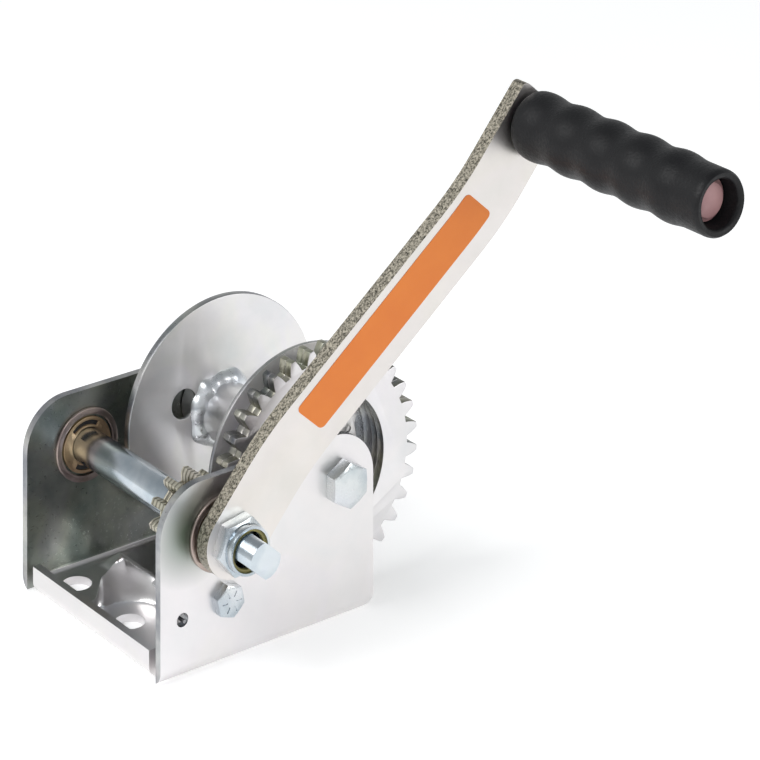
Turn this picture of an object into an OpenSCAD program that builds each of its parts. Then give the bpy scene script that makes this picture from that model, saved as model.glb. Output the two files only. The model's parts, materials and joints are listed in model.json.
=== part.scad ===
// Hand-cranked trailer winch: a folded steel frame carries a crank shaft with a ten tooth
// pinion, a cable drum with a laminated spur gear, and a ratchet pawl.
// Millimetres. X runs along the shafts towards the crank, Y from the front lip to the rear,
// Z up from the underside of the base. The origin is at the middle of the base's underside.

/* [Frame] */
// Width over the two side plates
frame_width = 90; // [88:1:96]
// Front to rear length of the base
frame_depth = 92.4; // [92:0.2:98]
// Thickness of the folded sheet
sheet = 3; // [2.5:0.1:3.2]
// Height of the upturned front lip
lip_height = 10.3; // [8:0.1:12]
// Height of the top edge at the front of the side plates
plate_top = 66.8; // [66:0.2:69]

/* [Gears] */
// Tooth module, the same for the gear and the pinion
tooth_module = 2.54; // [2.5:0.01:2.56]
// Turn of the gear from the position where a tooth gap faces the pinion squarely
gear_turn = -2.75; // [-4:0.05:4]

/* [Drum] */
// Outer radius of the far cable flange
far_flange_radius = 42.2; // [40:0.1:43]
// Outer radius of the near cable flange
near_flange_radius = 40.8; // [39:0.1:41]
// Clear width between the flanges
drum_width = 49; // [46:0.5:49]
// Outer radius of the drum core
core_radius = 11; // [10.5:0.1:12]

/* [Crank] */
// Radius from the shaft to the middle of the grip
crank_radius = 171; // [150:1:203]
// Lean of the crank arm above horizontal, towards the rear
crank_angle = 48.5; // [30:0.5:80]
// Sideways joggle of the arm
arm_joggle = 24.4; // [23:0.2:30]
// Length of the grip
grip_length = 99; // [90:1:125]

/* [Part to show] */
// One named node, or all of them

/* [Hidden] */
gear_teeth = 32;
pinion_teeth = 10;
round_steps = 96;

// shaft and drum axes
base_middle = frame_depth / 2;
shaft_y = 25.3 - base_middle;
shaft_z = 46.7;
drum_z = 49.6;
centre_distance = tooth_module * (gear_teeth + pinion_teeth) / 2;
drum_y = shaft_y + sqrt(pow(centre_distance, 2) - pow(drum_z - shaft_z, 2));
line_angle = atan2(drum_z - shaft_z, drum_y - shaft_y);

// places across the frame
near_out = frame_width / 2;
near_in = near_out - sheet;
far_out = -near_out;
far_in = -near_in;
rope_line = -5.5;
far_flange_face = rope_line - drum_width / 2;
near_flange_face = rope_line + drum_width / 2;

// frame folds and outline
fold_radius = 5;
plate_front_arc = 17.5;
plate_rear_arc = plate_top - drum_z;
lip_gap = 4.1;
lip_half = near_in - lip_gap;
base_line = -12.8;
hump_front = 11;
hump_back = 40;
hump_half = 26;
pad_radius = 15;
hump_flat = 7.3;
hump_wall = 12;
hump_crest = 17;
hump_rise = 11;
base_hole_radius = 5.5;
base_hole_y = 14 - base_middle;
base_hole_half = 17.5;
rear_hole_y = 74 - base_middle;
spring_hole_radius = 2.4;
hole_reach = sheet + 2;

// teeth
gear_tip = tooth_module * (gear_teeth / 2 + 1.2);
gear_root = tooth_module * (gear_teeth / 2 - 0.65);
pinion_tip = tooth_module * (pinion_teeth / 2 + 0.55);
pinion_root = tooth_module * (pinion_teeth / 2 - 1.3);
pressure_angle = 20;
gear_tooth_widening = 0.5;
pinion_tooth_widening = -0.8;
flank_points = 4;
pinion_start = near_flange_face + 2;
pinion_end = near_in - 1;
gear_plate = 3.5;
gear_ring_inner = 28;
gear_start = near_flange_face + 6.8;
gear_phase = line_angle + 180 + 180 / gear_teeth + gear_turn;
pinion_phase = line_angle - gear_turn * gear_teeth / pinion_teeth;

// drum details
flange_sheet = 1.6;
rim_roll = 1.5;
rope_hole_radius = 5.5;
rope_hole_reach = 18.6;
rope_hole_angle = 160;
core_wall = 2;
end_gap = 0.5;
weld_size = 3.4;

// shafts and bearings
shaft_radius = 6.35;
running_gap = 0.05;
flat_half = 4.8;
bush_radius = 8.5;
bush_flange_radius = 10.2;
bush_flange = 1.2;
ring_inner = 11;
ring_outer = 13.4;
ring_height = 1.4;
arm_gap = 3.6;
shaft_far_end = far_out - 6;
clip_groove = far_out - 3;
clip_thickness = 1;
shaft_shoulder = near_out + arm_gap;
arm_thickness = 6;
nut_hex = 5.6;
nut_flats = 18;
nut_turn = 21;
nut_collar = 8.4;
nut_height = 8.4;
shaft_end = shaft_shoulder + arm_thickness + nut_height + 9;

// crank arm and grip
arm_half = 12.5;
bend_start = 20;
bend_end = 150;
bend_ease = 0.19;
bend_points = 6;
arm_end = crank_radius + 10;
arm_inner = shaft_shoulder;
arm_outer = arm_inner + arm_thickness;
grip_start = arm_outer + arm_joggle + 0.6;
grip_radius = 12;
grip_swell = 0.45;
grip_swell_pitch = 18;
first_swell = 6;
last_valley = first_swell + 4.5 * grip_swell_pitch;
axle_radius = 4.9;
grip_bore = axle_radius + 0.08;
grip_pocket_radius = 8.4;
grip_pocket_depth = 9;
label_length = 91.5;
label_half = 7.3;
label_corner = 2;
label_thickness = 0.2;
label_lift = 0.05;
label_centre = 91.7;
label_shift = 2.1;

// reel bolt, pawl and fasteners
reel_bolt_radius = 4.76;
reel_head_flats = 14.3;
reel_head_height = 5.8;
pawl_y = 27.8 - base_middle;
pawl_z = 22.7;
pawl_bolt_radius = 3.17;
pawl_head_flats = 10.4;
pawl_head_height = 3.4;
pawl_washer = 1.5;
pawl_thickness = 5;
pawl_swing = 14;
pawl_gap_angle = pinion_phase + 180 + 180 / pinion_teeth;
pawl_tooth_depth = pinion_root + 2.2;
pawl_inner_arc = pinion_tip + 0.4;
pawl_outer_arc = pawl_inner_arc + 7.4;
pawl_hub = 6;
spring_hole_y = 9.2 - base_middle;
spring_hole_z = 20.8;
wire = 0.6;

// ---------------------------------------------------------------- helpers
// points of an arc, from angle a to angle b
function arc(cx, cy, r, a, b, n = 12) =
    [for (i = [0 : n]) [cx + r * cos(a + (b - a) * i / n), cy + r * sin(a + (b - a) * i / n)]];

function involute_part(angle) = tan(angle) * 180 / PI - angle;

// half angle of a tooth at radius r, for a gear of base radius rb
function tooth_half(r, rb, half) =
    half + involute_part(pressure_angle) - involute_part(acos(min(1, rb / r)));

// one side of a tooth as [radius, half angle], root first; the stub teeth of the gear are
// wider than half the pitch and those of the pinion narrower
function flank(teeth, tip, root, widening) =
    let (pitch = tooth_module * teeth / 2)
    let (base = pitch * cos(pressure_angle))
    let (half = 90 / teeth + widening / 2 / pitch * 180 / PI)
    let (low = max(base, root))
    concat(
        base > root ? [[root, tooth_half(low, base, half)]] : [],
        [for (i = [0 : flank_points]) let (r = low + (tip - low) * i / flank_points)
            [r, tooth_half(r, base, half)]]
    );

function gear_points(teeth, tip, root, phase, widening) =
    let (side = flank(teeth, tip, root, widening))
    let (last = len(side) - 1)
    [for (t = [0 : teeth - 1]) let (c = phase + 360 * t / teeth)
        for (i = [0 : 2 * last + 1])
            let (p = i <= last ? side[i] : side[2 * last + 1 - i])
            let (a = i <= last ? c - p[1] : c + p[1])
            p[0] * [cos(a), sin(a)]];

// extrude a Y-Z outline along X, starting at x
module along_x(x, length) {
    translate([x, 0, 0]) rotate([90, 0, 90]) linear_extrude(length) children();
}

// round bar along X through the point y, z
module rod(x, length, r, y, z, steps = round_steps) {
    translate([x, y, z]) rotate([90, 0, 90]) cylinder(h = length, r = r, $fn = steps);
}

module at_shaft() { translate([0, shaft_y, shaft_z]) children(); }

module at_drum() { translate([0, drum_y, drum_z]) children(); }

module at_pawl() { translate([0, pawl_y, pawl_z]) children(); }

// flat ring along X about the X axis
module washer(x, thickness, outer, inner) {
    difference() {
        rod(x, thickness, outer, 0, 0);
        rod(x - 1, thickness + 2, inner, 0, 0);
    }
}

module hexagon(x, length, flats, turn = 0) {
    along_x(x, length) rotate(turn) circle(r = flats / sqrt(3), $fn = 6);
}

// bevelled hexagon: the corners of one end are rounded off by a cone
module hex_head(x, length, flats, turn, outward = 1) {
    corner = flats / sqrt(3);
    bevel = corner * 0.16;
    intersection() {
        hexagon(x, length, flats, turn);
        translate([outward > 0 ? x : x + length, 0, 0]) rotate([90, 0, 90 * outward])
            rotate_extrude($fn = round_steps)
                polygon([[0, 0], [corner + 1, 0], [corner + 1, length - bevel],
                    [corner - 2 * bevel, length], [0, length]]);
    }
}

// ---------------------------------------------------------------- frame
function plate_outline() = concat(
    [[0, 0], [frame_depth - 6, 0]],
    arc(frame_depth - 6, 6, 6, -90, 0, 8),
    arc(frame_depth - plate_rear_arc, drum_z, plate_rear_arc, 0, 90, 16),
    arc(plate_front_arc, plate_top - plate_front_arc, plate_front_arc, 90, 180, 24)
);

// folded channel section in X-Z
function channel_outline() = concat(
    arc(near_out - fold_radius, fold_radius, fold_radius, -90, 0, 8),
    [[near_out, plate_top + 5], [near_in, plate_top + 5]],
    arc(near_out - fold_radius, fold_radius, fold_radius - sheet, 0, -90, 8),
    arc(far_out + fold_radius, fold_radius, fold_radius - sheet, 270, 180, 8),
    [[far_in, plate_top + 5], [far_out, plate_top + 5]],
    arc(far_out + fold_radius, fold_radius, fold_radius, 180, 270, 8)
);

// the pressed hump in the floor; its hollow is the same shape, moved in by the sheet
module hump(inset, bottom) {
    front = hump_front + inset;
    back = hump_back - inset;
    half = hump_half - inset;
    floor_level = sheet - inset;
    crest = hump_crest - inset;
    difference() {
        intersection() {
            translate([base_line - half, front, bottom])
                cube([2 * half, back - front, hump_crest + sheet]);
            along_x(base_line - hump_half, 2 * hump_half)
                polygon([[0, bottom], [0, hump_wall - inset], [hump_front, hump_wall - inset],
                    [hump_front + hump_rise, crest], [back, floor_level], [back, bottom]]);
            translate([base_line, frame_depth, 0]) rotate([90, 0, 0]) linear_extrude(frame_depth)
                polygon([[-half, bottom], [-half, floor_level], [inset - hump_flat, crest],
                    [hump_flat - inset, crest], [half, floor_level], [half, bottom]]);
        }
        // round pads stay flat round the two front holes
        for (side = [-1, 1])
            translate([base_line + side * base_hole_half, base_hole_y + base_middle, bottom - 1])
                cylinder(h = hump_crest + 2 * sheet, r = pad_radius + inset, $fn = round_steps);
    }
}

module front_lip() {
    translate([-lip_half, 0, 0]) rotate([90, 0, 90]) linear_extrude(2 * lip_half)
        polygon(concat(
            arc(fold_radius, fold_radius, fold_radius, 180, 270, 8),
            [[fold_radius + 0.5, 0], [fold_radius + 0.5, sheet]],
            arc(fold_radius, fold_radius, fold_radius - sheet, 270, 180, 8),
            [[sheet, lip_height], [0, lip_height]]
        ));
}

module base_hole(x, y) {
    translate([x, y, -1]) cylinder(h = hole_reach, r = base_hole_radius, $fn = round_steps);
}

// base and side plates, folded up from one sheet; its front edge is at Y = 0 here
module folded_channel() {
    margin = 5;
    intersection() {
        translate([0, frame_depth + margin, 0]) rotate([90, 0, 0])
            linear_extrude(frame_depth + 2 * margin) polygon(channel_outline());
        along_x(far_out - 1, frame_width + 2) polygon(plate_outline());
        difference() {
            translate([far_out - 1, -1, -1])
                cube([frame_width + 2, frame_depth + 2, plate_top + 2]);
            translate([-near_in, -2, -1])
                cube([2 * near_in, fold_radius + 2, fold_radius + 1]);
        }
    }
}

module frame() {
    color("silver") difference() {
        translate([0, -base_middle, 0]) difference() {
            union() {
                folded_channel();
                front_lip();
                // floor strip that joins the lip to the base
                translate([-near_out + fold_radius, fold_radius - 0.5, 0])
                    cube([frame_width - 2 * fold_radius, 1, sheet]);
                hump(0, sheet / 2);
            }
            hump(sheet, -1);
        }
        // shaft bushings and the reel bolt pass through both plates
        rod(far_out - 1, frame_width + 2, bush_radius, shaft_y, shaft_z);
        rod(far_out - 1, frame_width + 2, reel_bolt_radius, drum_y, drum_z);
        rod(near_in - 1, hole_reach, pawl_bolt_radius, pawl_y, pawl_z);
        rod(near_in - 1, hole_reach, spring_hole_radius, spring_hole_y, spring_hole_z);
        for (side = [-1, 1]) base_hole(base_line + side * base_hole_half, base_hole_y);
        base_hole(base_line, rear_hole_y);
    }
}

// ---------------------------------------------------------------- shaft bearings
module bearing_ring(x) {
    color("lightgrey") at_shaft() washer(x, ring_height, ring_outer, ring_inner);
}

module bearing_ring_far() { bearing_ring(far_in); }

module bearing_ring_near() { bearing_ring(near_out); }

// flanged bushing with two crescent pockets in its flange
module bushing(x) {
    color("peru") at_shaft() difference() {
        union() {
            rod(x - sheet, sheet + bush_flange, bush_radius, 0, 0);
            rod(x, bush_flange, bush_flange_radius, 0, 0);
        }
        rod(x - sheet - 1, sheet + bush_flange + 2, shaft_radius + running_gap, 0, 0);
        for (turn = [20, 200])
            along_x(x + bush_flange - 0.7, 1)
                polygon(concat(
                    arc(0, 0, 9, turn + 35, turn + 115, 12),
                    arc(0, 0, 7.3, turn + 115, turn + 35, 12)
                ));
    }
}

module bushing_far() { bushing(far_in); }

module bushing_near() { bushing(near_out); }

// ---------------------------------------------------------------- crank shaft
module double_d(r, half) {
    intersection() {
        circle(r = r, $fn = round_steps);
        square([2 * half, 4 * r], center = true);
    }
}

module drive_shaft() {
    color("silver") at_shaft() difference() {
        union() {
            rod(shaft_far_end, shaft_shoulder - shaft_far_end, shaft_radius, 0, 0);
            along_x(shaft_shoulder - 0.5, shaft_end - shaft_shoulder + 0.5)
                rotate(crank_angle) double_d(shaft_radius - 0.05, flat_half);
        }
        difference() {
            rod(clip_groove, clip_thickness + 0.1, shaft_radius + 1, 0, 0);
            rod(clip_groove - 1, clip_thickness + 2, shaft_radius - 1, 0, 0);
        }
    }
}

module pinion() {
    color("khaki") at_shaft() difference() {
        along_x(pinion_start, pinion_end - pinion_start)
            polygon(gear_points(pinion_teeth, pinion_tip, pinion_root, pinion_phase,
                pinion_tooth_widening));
        rod(pinion_start - 1, pinion_end - pinion_start + 2, shaft_radius, 0, 0);
    }
}

module shaft_washer() {
    color("lightgrey") at_shaft()
        washer(clip_groove + clip_thickness, 1.8, 11, shaft_radius + running_gap);
}

// open retaining clip seated in the groove
module shaft_clip() {
    color("dimgrey") at_shaft() difference() {
        rod(clip_groove, clip_thickness, shaft_radius + 2.6, 0, 0);
        rod(clip_groove - 1, clip_thickness + 2, shaft_radius - 1, 0, 0);
        along_x(clip_groove - 1, clip_thickness + 2)
            translate([0, shaft_radius]) square([2 * shaft_radius - 3, 2 * shaft_radius], center = true);
    }
}

// ---------------------------------------------------------------- crank
// sideways offset of the arm at a share t of the way through its two eased bends
function joggle_share(t) =
    t < bend_ease ? t * t / (2 * bend_ease * (1 - bend_ease))
    : t > 1 - bend_ease ? 1 - (1 - t) * (1 - t) / (2 * bend_ease * (1 - bend_ease))
    : (t - bend_ease / 2) / (1 - bend_ease);

function joggle_at(s) =
    arm_joggle * joggle_share(min(1, max(0, (s - bend_start) / (bend_end - bend_start))));

// distances along the arm at which its two bends are drawn
function bend_stations() =
    let (step = bend_ease * (bend_end - bend_start) / bend_points)
    concat(
        [for (i = [0 : bend_points]) bend_start + i * step],
        [for (i = [bend_points : -1 : 0]) bend_end - i * step]
    );

// a band that follows the arm, seen edge on: distance from the frame, then along the arm
function arm_band(start, end, inner, outer) =
    let (stations = concat([start], bend_stations(), [end]))
    let (last = len(stations) - 1)
    concat(
        [for (p = stations) [joggle_at(p) + inner, p]],
        [for (i = [last : -1 : 0]) [joggle_at(stations[i]) + outer, stations[i]]]
    );

function arm_face() = concat(
    arc(0, 0, arm_half, 90, 270, 24),
    arc(arm_end - 5, -arm_half + 5, 5, -90, 0, 6),
    arc(arm_end - 5, arm_half - 5, 5, 0, 90, 6)
);

// the crank's own frame: Y runs along the arm, from the shaft's axis
module arm_frame() { at_shaft() rotate([crank_angle, 0, 0]) children(); }

module handle_arm() {
    color("whitesmoke") arm_frame() difference() {
        intersection() {
            along_x(0, near_out + arm_joggle + 40) polygon(arm_face());
            translate([arm_inner, 0, -arm_half - 1]) linear_extrude(2 * arm_half + 2)
                polygon(arm_band(-arm_half, arm_end, 0, arm_thickness));
        }
        along_x(arm_inner - 1, arm_thickness + 2) double_d(shaft_radius, flat_half + 0.05);
        rod(arm_inner + arm_joggle - 1, arm_thickness + 2, axle_radius - 1, crank_radius, 0);
    }
}

module handle_nut() {
    color("gainsboro") arm_frame() difference() {
        union() {
            hex_head(arm_outer, nut_hex, nut_flats, nut_turn);
            rod(arm_outer + nut_hex - 0.5, nut_height - nut_hex + 0.5, nut_collar, 0, 0);
        }
        rod(arm_outer - 1, nut_height + 2, shaft_radius, 0, 0);
        rod(arm_outer + nut_hex, nut_height, shaft_radius + 1.1, 0, 0);
    }
}

// nylon locking ring held in the nut's collar
module handle_nut_ring() {
    color("olive") arm_frame()
        washer(arm_outer + nut_hex, nut_height - nut_hex - 0.9, shaft_radius + 1.1, shaft_radius);
}

// thin film that follows the arm's outer face
module handle_label() {
    reach = label_length / 2 - label_corner;
    rise = label_half - label_corner;
    color("darkorange") arm_frame() intersection() {
        along_x(arm_outer - 1, arm_joggle + arm_thickness)
            translate([label_centre, label_shift]) polygon(concat(
                arc(reach, rise, label_corner, 0, 90, 6),
                arc(-reach, rise, label_corner, 90, 180, 6),
                arc(-reach, -rise, label_corner, 180, 270, 6),
                arc(reach, -rise, label_corner, 270, 360, 6)
            ));
        translate([arm_outer, 0, -2 * label_half]) linear_extrude(4 * label_half)
            polygon(arm_band(0, arm_end, label_lift, label_lift + label_thickness));
    }
}

// ---------------------------------------------------------------- grip
// radius of the finger grip at a distance along it: five swells and eased ends
function grip_at(d) = grip_radius
    + grip_swell * (d > last_valley ? -1 : cos(360 * (d - first_swell) / grip_swell_pitch))
    - 1.2 * pow(max(0, 1 - d / 3), 2) - 0.8 * pow(max(0, 1 - (grip_length - d) / 2), 2);

module grip() {
    steps = 50;
    outer = [for (i = [0 : steps]) let (d = grip_length * i / steps) [grip_at(d), d]];
    color("black") arm_frame() translate([grip_start, crank_radius, 0]) rotate([0, 90, 0])
        rotate_extrude($fn = round_steps)
            polygon(concat(
                [[grip_bore, 0]], outer,
                [[grip_pocket_radius, grip_length],
                 [grip_pocket_radius, grip_length - grip_pocket_depth],
                 [grip_bore, grip_length - grip_pocket_depth]]
            ));
}

// headed axle, riveted through the arm
module grip_axle() {
    back = arm_inner + arm_joggle;
    front = grip_start + grip_length - grip_pocket_depth;
    color("silver") arm_frame() translate([0, crank_radius, 0]) union() {
        rod(back - 2, arm_thickness + 2.5, axle_radius - 1, 0, 0);
        rod(back - 2, 2, axle_radius + 1.6, 0, 0);
        rod(arm_outer + arm_joggle, front - arm_outer - arm_joggle + 2, axle_radius, 0, 0);
        rod(front + 1.8, 1.6, axle_radius + 1.4, 0, 0);
    }
}

module grip_end_washer() {
    front = grip_start + grip_length - grip_pocket_depth;
    color("rosybrown") arm_frame() translate([0, crank_radius, 0])
        washer(front + 0.3, 1.5, grip_pocket_radius - 0.6, axle_radius);
}

// ---------------------------------------------------------------- drum
module drum_core() {
    color("silver") at_drum()
        washer(far_in + end_gap, 2 * (near_in - end_gap), core_radius, core_radius - core_wall);
}

module drum_bushings() {
    length = 14;
    color("ivory") at_drum() for (x = [far_in + end_gap, near_in - end_gap - length])
        washer(x, length, core_radius - core_wall, reel_bolt_radius + running_gap);
}

module rope_hole(x) {
    rod(x - 1, 8, rope_hole_radius, rope_hole_reach * cos(rope_hole_angle),
        rope_hole_reach * sin(rope_hole_angle));
}

module drum_flange_far() {
    color("gainsboro") at_drum() difference() {
        union() {
            washer(far_flange_face - flange_sheet, flange_sheet, far_flange_radius, core_radius);
            // rolled rim
            washer(far_flange_face - flange_sheet - rim_roll, flange_sheet + rim_roll,
                far_flange_radius, far_flange_radius - 1.8);
        }
        rope_hole(far_flange_face - flange_sheet);
    }
}

module drum_flange_near() {
    slot_angle = 29;
    color("gainsboro") at_drum() difference() {
        washer(near_flange_face, flange_sheet, near_flange_radius, core_radius);
        along_x(near_flange_face - 1, flange_sheet + 2) rotate(slot_angle)
            polygon(concat(arc(22, 0, 2.8, -90, 90, 10), arc(15.5, 0, 2.8, 90, 270, 10)));
        rod(near_flange_face + 0.8, 2, 1.2, 21.5 * cos(slot_angle - 17), 21.5 * sin(slot_angle - 17));
    }
}

module gear_spacer() {
    color("grey") at_drum() washer(near_flange_face + flange_sheet,
        gear_start - near_flange_face - flange_sheet, gear_ring_inner + 4, gear_ring_inner);
}

module gear_plate(x) {
    at_drum() difference() {
        along_x(x, gear_plate)
            polygon(gear_points(gear_teeth, gear_tip, gear_root, gear_phase,
                gear_tooth_widening));
        rod(x - 1, gear_plate + 2, gear_ring_inner, 0, 0);
    }
}

module gear_plate_inner() { color("gainsboro") gear_plate(gear_start); }

module gear_plate_outer() { color("whitesmoke") gear_plate(gear_start + gear_plate); }

// fillet welds around the core, inside the cable space
module core_welds() {
    color("darkgrey") at_drum() {
        translate([far_flange_face, 0, 0]) rotate([0, 90, 0]) rotate_extrude($fn = round_steps)
            polygon([[core_radius, 0], [core_radius + weld_size, 0], [core_radius, weld_size]]);
        translate([near_flange_face, 0, 0]) rotate([0, -90, 0]) rotate_extrude($fn = round_steps)
            polygon([[core_radius, 0], [core_radius + weld_size, 0], [core_radius, weld_size]]);
    }
}

// short welds inside the gear opening
module gear_welds() {
    base = near_flange_face + flange_sheet;
    color("darkgrey") at_drum() for (turn = [5, 125, 245])
        rotate([turn, 0, 0]) intersection() {
            translate([base, 0, 0]) rotate([0, 90, 0]) rotate_extrude($fn = round_steps)
                polygon([[gear_ring_inner - 3, 0], [gear_ring_inner, 0], [gear_ring_inner, 3.5]]);
            along_x(base - 1, 8) polygon([[0, 0], [40, -9], [40, 9]]);
        }
}

// ---------------------------------------------------------------- reel bolt
module drum_bolt() {
    color("lightsteelblue") at_drum() union() {
        hex_head(near_out, reel_head_height, reel_head_flats, 30);
        rod(far_out - 12, 12 + frame_width + 0.5, reel_bolt_radius, 0, 0);
    }
}

module drum_bolt_washer() {
    color("lightgrey") at_drum() washer(far_out - 1.6, 1.6, 10, reel_bolt_radius);
}

module drum_bolt_nut() {
    color("gainsboro") at_drum() difference() {
        hex_head(far_out - 10, 8.4, reel_head_flats, 20, -1);
        rod(far_out - 12, 12, reel_bolt_radius, 0, 0);
    }
}

// ---------------------------------------------------------------- ratchet pawl
// outline of the pawl in its engaged position, about the pinion's axis: a curved arm with
// a tooth that drops into the gap at pawl_gap_angle
function pawl_arm_points() = concat(
    arc(0, 0, pawl_inner_arc, pawl_gap_angle + 58, pawl_gap_angle + 11, 8),
    [pawl_tooth_depth * [cos(pawl_gap_angle + 4), sin(pawl_gap_angle + 4)],
     pawl_tooth_depth * [cos(pawl_gap_angle - 4), sin(pawl_gap_angle - 4)],
     pawl_inner_arc * [cos(pawl_gap_angle - 9), sin(pawl_gap_angle - 9)]],
    arc(0, 0, pawl_outer_arc, pawl_gap_angle - 5, pawl_gap_angle + 62, 10)
);

// the pawl rests clear of the pinion, turned back by its swing
module pawl() {
    back = near_in - pawl_washer - pawl_thickness;
    color("silver") at_pawl() rotate([pawl_swing, 0, 0]) difference() {
        union() {
            rod(back, pawl_thickness, pawl_hub, 0, 0);
            along_x(back, pawl_thickness)
                translate([shaft_y - pawl_y, shaft_z - pawl_z]) polygon(pawl_arm_points());
            // thumb tab towards the base
            along_x(back, pawl_thickness) rotate(-86)
                polygon([[0, -3.4], [15, -2.6], [16.5, 0], [15, 2.6], [0, 3.4]]);
        }
        rod(back - 1, pawl_thickness + 2, pawl_bolt_radius + running_gap, 0, 0);
    }
}

module pawl_washer() {
    color("lightgrey") at_pawl()
        washer(near_in - pawl_washer + 0.05, pawl_washer - 0.05, 6.5, pawl_bolt_radius);
}

module pawl_bolt() {
    // radial grade marks are shallow grooves in the head
    color("lightsteelblue") at_pawl() difference() {
        union() {
            hex_head(near_out, pawl_head_height, pawl_head_flats, 42);
            rod(near_in - 15, sheet + 15.5, pawl_bolt_radius, 0, 0);
        }
        for (turn = [0 : 60 : 300])
            rotate([turn, 0, 0]) translate([near_out + pawl_head_height - 0.3, 1.8, -0.25])
                cube([1, 2.2, 0.5]);
    }
}

module pawl_nut() {
    color("gainsboro") at_pawl() difference() {
        hex_head(near_in - 13.6, 5.8, pawl_head_flats, 10, -1);
        rod(near_in - 14.6, 8, pawl_bolt_radius, 0, 0);
    }
}

// spring wire: an eye round the pawl bolt and an arm to the hook in the plate
module pawl_spring() {
    x = near_in - pawl_washer - pawl_thickness - 0.15;
    dy = spring_hole_y - pawl_y;
    dz = spring_hole_z - pawl_z;
    angle = atan2(dz, dy);
    reach = norm([dy, dz]);
    color("darkslategrey") {
        at_pawl() difference() {
            rod(x - 2 * wire + 0.1, 2 * wire - 0.1, pawl_bolt_radius + 1.2, 0, 0);
            rod(x - 3, 4, pawl_bolt_radius, 0, 0);
        }
        at_pawl() along_x(x - 2 * wire + 0.1, 2 * wire - 0.1) rotate(angle)
            translate([pawl_bolt_radius + 0.6, -wire])
                square([reach - pawl_bolt_radius - 0.6 + wire, 2 * wire]);
        rod(x - 2 * wire + 0.1, near_out + 1.2 - x + 2 * wire, wire, spring_hole_y, spring_hole_z, 24);
    }
}

// ---------------------------------------------------------------- assembly
frame();
bearing_ring_far();
bearing_ring_near();
bushing_far();
bushing_near();
drive_shaft();
pinion();
shaft_washer();
shaft_clip();
handle_arm();
handle_nut();
handle_nut_ring();
handle_label();
grip_axle();
grip();
grip_end_washer();
drum_core();
drum_bushings();
drum_flange_far();
drum_flange_near();
gear_spacer();
gear_plate_inner();
gear_plate_outer();
core_welds();
gear_welds();
drum_bolt();
drum_bolt_washer();
drum_bolt_nut();
pawl();
pawl_washer();
pawl_bolt();
pawl_nut();
pawl_spring();
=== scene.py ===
import json
import math

import bmesh
import bpy
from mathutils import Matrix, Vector, noise


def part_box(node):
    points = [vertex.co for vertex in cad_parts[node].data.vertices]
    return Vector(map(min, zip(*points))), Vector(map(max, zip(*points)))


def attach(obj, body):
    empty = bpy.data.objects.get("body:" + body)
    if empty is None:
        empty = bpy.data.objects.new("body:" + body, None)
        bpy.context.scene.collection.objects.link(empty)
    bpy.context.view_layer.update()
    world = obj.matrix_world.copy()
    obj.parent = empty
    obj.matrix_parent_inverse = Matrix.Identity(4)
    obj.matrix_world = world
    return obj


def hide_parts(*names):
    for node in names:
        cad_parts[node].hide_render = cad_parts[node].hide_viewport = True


# Boat trailer winch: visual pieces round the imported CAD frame, in metres.
# +X runs along the shafts towards the crank, +Y to the rear, +Z up.
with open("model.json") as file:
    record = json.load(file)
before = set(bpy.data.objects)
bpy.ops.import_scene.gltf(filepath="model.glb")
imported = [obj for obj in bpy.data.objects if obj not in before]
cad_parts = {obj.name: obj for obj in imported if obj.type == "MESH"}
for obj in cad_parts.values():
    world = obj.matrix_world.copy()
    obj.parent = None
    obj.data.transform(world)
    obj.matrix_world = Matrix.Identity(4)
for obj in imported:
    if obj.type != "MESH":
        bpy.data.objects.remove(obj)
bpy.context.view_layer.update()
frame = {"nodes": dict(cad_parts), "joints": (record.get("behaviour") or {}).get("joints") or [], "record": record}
MM = 0.001

# ---------------------------------------------------------------- places from the frame
JOINTS = {j["name"]: j for j in frame["joints"]}
SHAFT = Vector(JOINTS["crank_spin"]["pos_m"])
DRUM = Vector(JOINTS["drum_spin"]["pos_m"])
GRIP = Vector(JOINTS["grip_spin"]["pos_m"])
BODY_OF = {node: body for body, nodes in frame["record"]["behaviour"]["bodies"].items()
           for node in nodes}
MOUNTS = {m["name"]: m for m in frame["record"]["mounts"]}
CRANK_RADIUS = math.hypot(GRIP.y - SHAFT.y, GRIP.z - SHAFT.z)
CRANK_ANGLE = math.atan2(GRIP.z - SHAFT.z, GRIP.y - SHAFT.y)

FRAME_LOW, FRAME_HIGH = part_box("frame")
NEAR_OUT = FRAME_HIGH.x
FAR_OUT = FRAME_LOW.x
NEAR_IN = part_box("pawl_washer")[1].x
SHEET = NEAR_OUT - NEAR_IN
FAR_IN = FAR_OUT + SHEET
SHAFT_LOW, SHAFT_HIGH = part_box("drive_shaft")
SHAFT_RADIUS = (SHAFT_HIGH.z - SHAFT_LOW.z) / 2
DRUM_BOLT_RADIUS = 4.76 * MM
PAWL_BOLT_RADIUS = 3.17 * MM
NEARLY = 0.1 * MM    # how far a face may lie from a plane and still count as in it


def arc(cx, cy, radius, start, end, steps):
    """Points of an arc between two angles in degrees."""
    points = []
    for i in range(steps + 1):
        a = math.radians(start + (end - start) * i / steps)
        points.append((cx + radius * math.cos(a), cy + radius * math.sin(a)))
    return points


# ---------------------------------------------------------------- mesh helpers
def add_object(name, mesh):
    """Puts a mesh in the scene as an object at the origin."""
    piece = bpy.data.objects.new(name, mesh)
    bpy.context.scene.collection.objects.link(piece)
    return piece


def from_bmesh(name, bm, smooth_angle=38):
    """Makes an object of a bmesh: outward faces, smooth except at edges sharper than the angle."""
    bmesh.ops.recalc_face_normals(bm, faces=bm.faces)
    mesh = bpy.data.meshes.new(name)
    bm.to_mesh(mesh)
    bm.free()
    mesh.shade_smooth()
    mesh.set_sharp_from_angle(angle=math.radians(smooth_angle))
    return add_object(name, mesh)


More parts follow.
